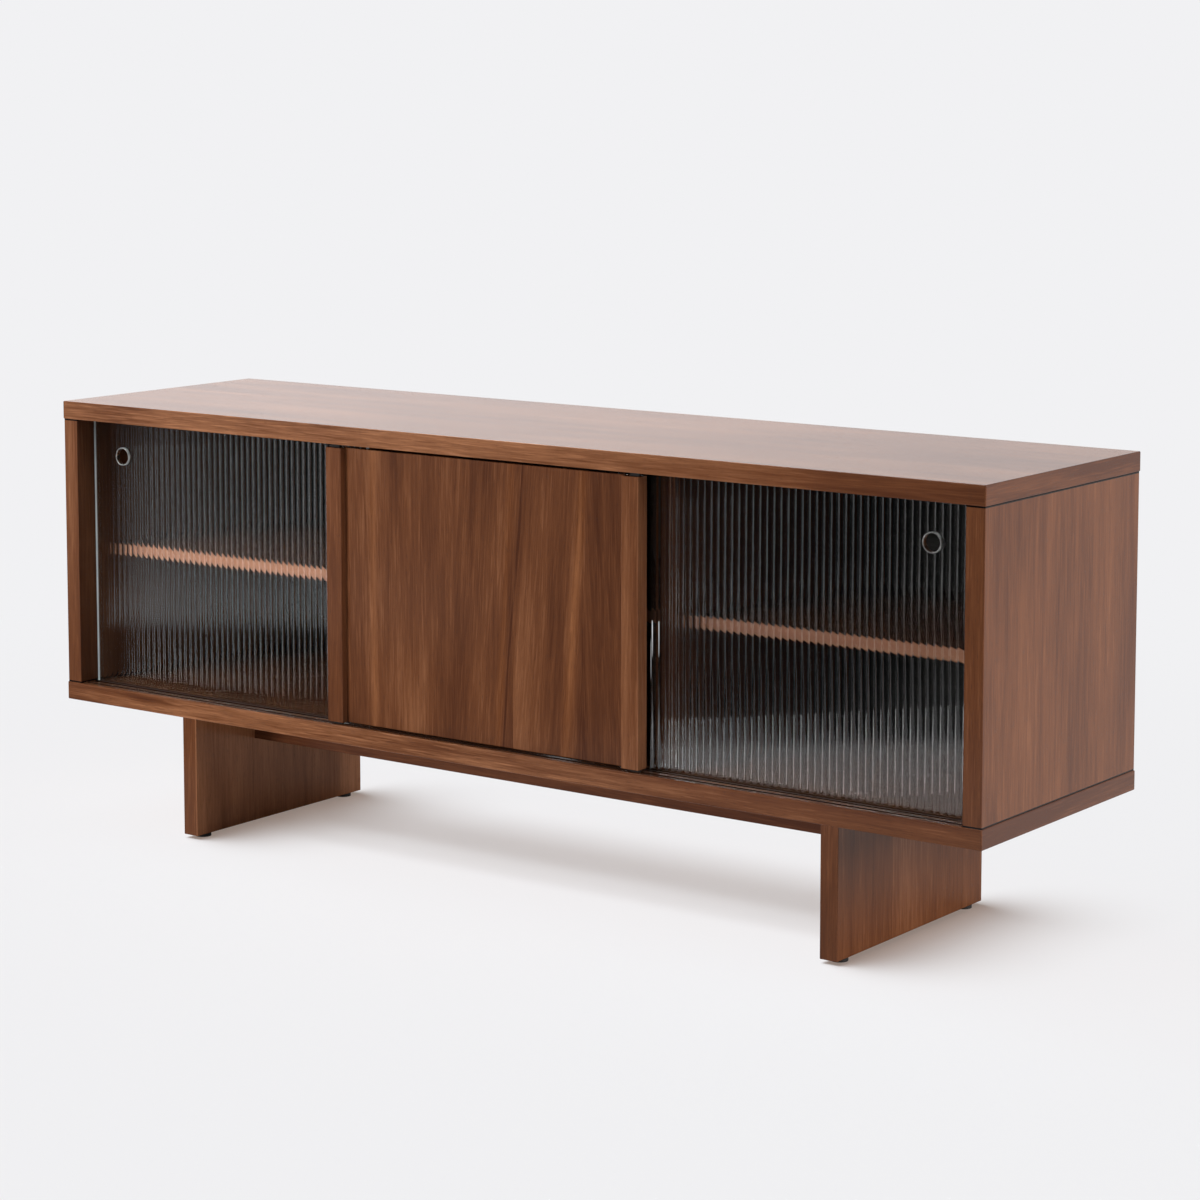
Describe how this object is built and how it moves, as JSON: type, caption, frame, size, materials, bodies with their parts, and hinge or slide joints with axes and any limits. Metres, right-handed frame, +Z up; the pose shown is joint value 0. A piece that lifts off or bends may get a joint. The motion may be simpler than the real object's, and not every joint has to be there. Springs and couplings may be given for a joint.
{
  "type": "media cabinet",
  "caption": "Low walnut media cabinet on slab legs, with a wooden sliding door between fluted glass sliding doors that have ringed finger holes.",
  "frame": {"origin": "on the floor under the middle of the cabinet", "axes": "+X to the right along the front, +Y to the back, +Z up; the front faces -Y"},
  "size_m": [1.48, 0.385, 0.6],
  "materials": {
    "walnut": "satin walnut stain with visible grain",
    "back_board": "plain board, stained nearly black",
    "dowel_beech": "bare beech",
    "fluted_glass": "clear glass with upright flutes",
    "ring_metal": "satin nickel",
    "track_plastic": "dark brown extruded plastic",
    "glide_plastic": "black nylon",
    "fastener_steel": "zinc plated",
    "bolt_steel": "black oxide",
    "insert_brass": "plain brass"
  },
  "bodies": {
    "cabinet": {"top_panel": "walnut", "bottom_panel": "walnut", "left_side_panel": "walnut", "right_side_panel": "walnut", "left_divider": "walnut", "right_divider": "walnut", "back_panel": "back_board", "back_panel_screws": "fastener_steel", "left_shelf": "walnut", "centre_shelf": "walnut", "right_shelf": "walnut", "shelf_pins": "fastener_steel", "carcase_dowels": "dowel_beech", "lower_glass_track": "track_plastic", "upper_glass_track": "track_plastic", "lower_door_track": "track_plastic", "upper_door_track": "track_plastic", "left_leg": "walnut", "right_leg": "walnut", "leg_inserts": "insert_brass", "leg_bolts": "bolt_steel", "foot_glides": "glide_plastic", "front_stretcher": "walnut", "rear_stretcher": "walnut", "stretcher_screws": "bolt_steel", "stretcher_dowels": "dowel_beech"},
    "wooden_door": {"door_panel": "walnut", "door_left_pull": "walnut", "door_right_pull": "walnut", "door_bottom_glides": "glide_plastic", "door_top_guides": "glide_plastic"},
    "left_glass_door": {"left_glass_pane": "fluted_glass", "left_finger_ring": "ring_metal", "left_ring_backing": "ring_metal", "left_glass_glides": "glide_plastic"},
    "right_glass_door": {"right_glass_pane": "fluted_glass", "right_finger_ring": "ring_metal", "right_ring_backing": "ring_metal", "right_glass_glides": "glide_plastic"}
  },
  "joints": [
    {"name": "wooden_door_slide", "type": "slide", "parent": "cabinet", "child": "wooden_door", "axis": [1, 0, 0], "range_m": [-0.459, 0.459]},
    {"name": "left_glass_slide", "type": "slide", "parent": "cabinet", "child": "left_glass_door", "axis": [1, 0, 0], "range_m": [0, 0.921]},
    {"name": "right_glass_slide", "type": "slide", "parent": "cabinet", "child": "right_glass_door", "axis": [1, 0, 0], "range_m": [-0.921, 0]}
  ]
}
